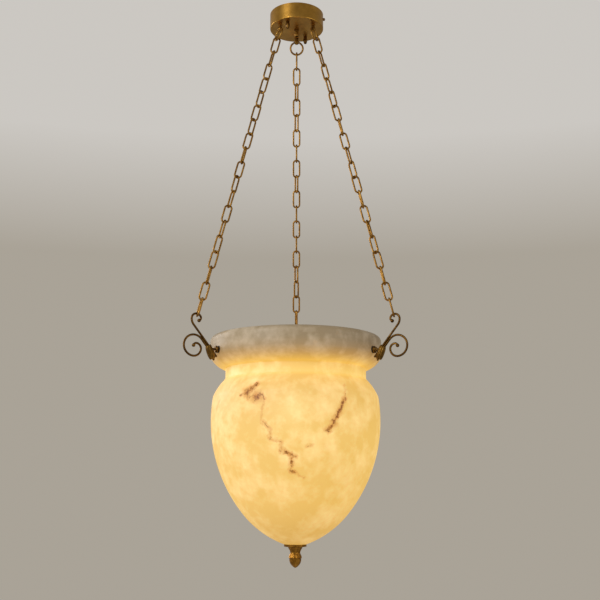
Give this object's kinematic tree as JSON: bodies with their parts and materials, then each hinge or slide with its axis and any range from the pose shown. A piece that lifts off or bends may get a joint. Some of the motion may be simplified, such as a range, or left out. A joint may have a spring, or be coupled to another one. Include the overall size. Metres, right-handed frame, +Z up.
{
  "type": "alabaster bowl pendant",
  "caption": "Pendant light: an egg-shaped alabaster bowl with a heavy lip hangs on chains from a brass drum canopy by scrolled brackets, with a turned finial below.",
  "frame": {"origin": "centre of the canopy's open rim, on the ceiling", "axes": "+Z up, -Y towards the viewer, the back chain's eye on +Y, the other two eyes at 210 and 330 degrees from +X"},
  "size_m": [0.4728, 0.4632, 1.2824],
  "materials": {
    "steel": "zinc plated",
    "earth_green": "green lacquer",
    "canopy_brass": "satin aged brass",
    "dark_bronze": "dark patina",
    "antique_brass": "antique brass",
    "chain_brass": "antique brass",
    "scroll_brass": "dark antique brass",
    "rubber": "matt",
    "alabaster": "honed, lit from inside",
    "block_plastic": "moulded",
    "clamp_brass": "plain",
    "holder_ceramic": "glazed",
    "bulb_cap": "rolled thread",
    "bulb_glass": "frosted, lit"
  },
  "bodies": {
    "canopy": {"ceiling_crossbar": "steel", "canopy_studs": "steel", "crossbar_locknuts": "steel", "earth_screw": "earth_green", "earth_washer": "steel", "canopy_shell": "canopy_brass", "cord_gland": "dark_bronze", "cord_gland_nut": "steel", "terminal_block": "block_plastic", "terminal_screws": "clamp_brass", "eye_stud_washers": "steel", "eye_stud_nuts": "steel", "eye_stud_back": "antique_brass", "eye_stud_left": "antique_brass", "eye_stud_right": "antique_brass"},
    "cap_nut_far": {"cap_nut_far": "dark_bronze"},
    "cap_nut_near": {"cap_nut_near": "dark_bronze"},
    "side_screw": {"canopy_side_screw": "dark_bronze"},
    "bowl": {"alabaster_bowl": "alabaster", "hook_scroll_back": "scroll_brass", "hook_scroll_left": "scroll_brass", "hook_scroll_right": "scroll_brass", "spiral_scroll_back": "scroll_brass", "spiral_scroll_left": "scroll_brass", "spiral_scroll_right": "scroll_brass", "scroll_collar_back": "scroll_brass", "scroll_collar_left": "scroll_brass", "scroll_collar_right": "scroll_brass", "lip_boss_back": "scroll_brass", "lip_boss_left": "scroll_brass", "lip_boss_right": "scroll_brass", "bracket_bolts": "scroll_brass", "lip_pads": "rubber", "lip_washers": "steel", "lip_nuts": "steel", "threaded_rod": "steel", "base_gasket": "rubber", "base_plate": "steel", "rod_nuts": "steel", "cluster_spider": "steel", "lampholder_back": "holder_ceramic", "lampholder_left": "holder_ceramic", "lampholder_right": "holder_ceramic", "finial_flange": "antique_brass"},
    "finial": {"finial_acorn": "antique_brass"},
    "chain_back": {"chain_ring_back": "antique_brass", "chain_back": "chain_brass"},
    "bulb_back": {"bulb_cap_back": "bulb_cap", "bulb_glass_back": "bulb_glass"},
    "chain_left": {"chain_ring_left": "antique_brass", "chain_left": "chain_brass"},
    "bulb_left": {"bulb_cap_left": "bulb_cap", "bulb_glass_left": "bulb_glass"},
    "chain_right": {"chain_ring_right": "antique_brass", "chain_right": "chain_brass"},
    "bulb_right": {"bulb_cap_right": "bulb_cap", "bulb_glass_right": "bulb_glass"}
  },
  "joints": [
    {"name": "bowl_sway", "type": "hinge", "parent": "canopy", "child": "bowl", "pos_m": [0, 0, 0.11546], "axis": [0, 1, 0], "range_deg": [-4, 4]},
    {"name": "chain_back_swing", "type": "hinge", "parent": "canopy", "child": "chain_back", "pos_m": [0, 0.045, -0.0471], "axis": [0, 1, 0], "range_deg": [-5, 5]},
    {"name": "bulb_back_turn", "type": "hinge", "parent": "bowl", "child": "bulb_back", "pos_m": [0, 0.062, -1.0444], "axis": [0, 0, 1], "continuous": true},
    {"name": "chain_left_swing", "type": "hinge", "parent": "canopy", "child": "chain_left", "pos_m": [-0.03897, -0.0225, -0.0471], "axis": [0, 1, 0], "range_deg": [-5, 5]},
    {"name": "bulb_left_turn", "type": "hinge", "parent": "bowl", "child": "bulb_left", "pos_m": [-0.05369, -0.031, -1.0444], "axis": [0, 0, 1], "continuous": true},
    {"name": "chain_right_swing", "type": "hinge", "parent": "canopy", "child": "chain_right", "pos_m": [0.03897, -0.0225, -0.0471], "axis": [0, 1, 0], "range_deg": [-5, 5]},
    {"name": "bulb_right_turn", "type": "hinge", "parent": "bowl", "child": "bulb_right", "pos_m": [0.05369, -0.031, -1.0444], "axis": [0, 0, 1], "continuous": true},
    {"name": "cap_nut_far_turn", "type": "hinge", "parent": "canopy", "child": "cap_nut_far", "pos_m": [0.02087, 0.03925, -0.04], "axis": [0, 0, 1], "continuous": true},
    {"name": "cap_nut_near_turn", "type": "hinge", "parent": "canopy", "child": "cap_nut_near", "pos_m": [-0.02087, -0.03925, -0.04], "axis": [0, 0, 1], "continuous": true},
    {"name": "side_screw_turn", "type": "hinge", "parent": "canopy", "child": "side_screw", "pos_m": [0.0635, 0, -0.01], "axis": [1, 0, 0], "continuous": true},
    {"name": "finial_turn", "type": "hinge", "parent": "bowl", "child": "finial", "pos_m": [0, 0, -1.2434], "axis": [0, 0, 1], "continuous": true}
  ],
  "couplings": [
    {"joint": "chain_back_swing", "follows": "bowl_sway", "ratio": 1.2306},
    {"joint": "chain_left_swing", "follows": "bowl_sway", "ratio": 1.2306},
    {"joint": "chain_right_swing", "follows": "bowl_sway", "ratio": 1.2306}
  ]
}
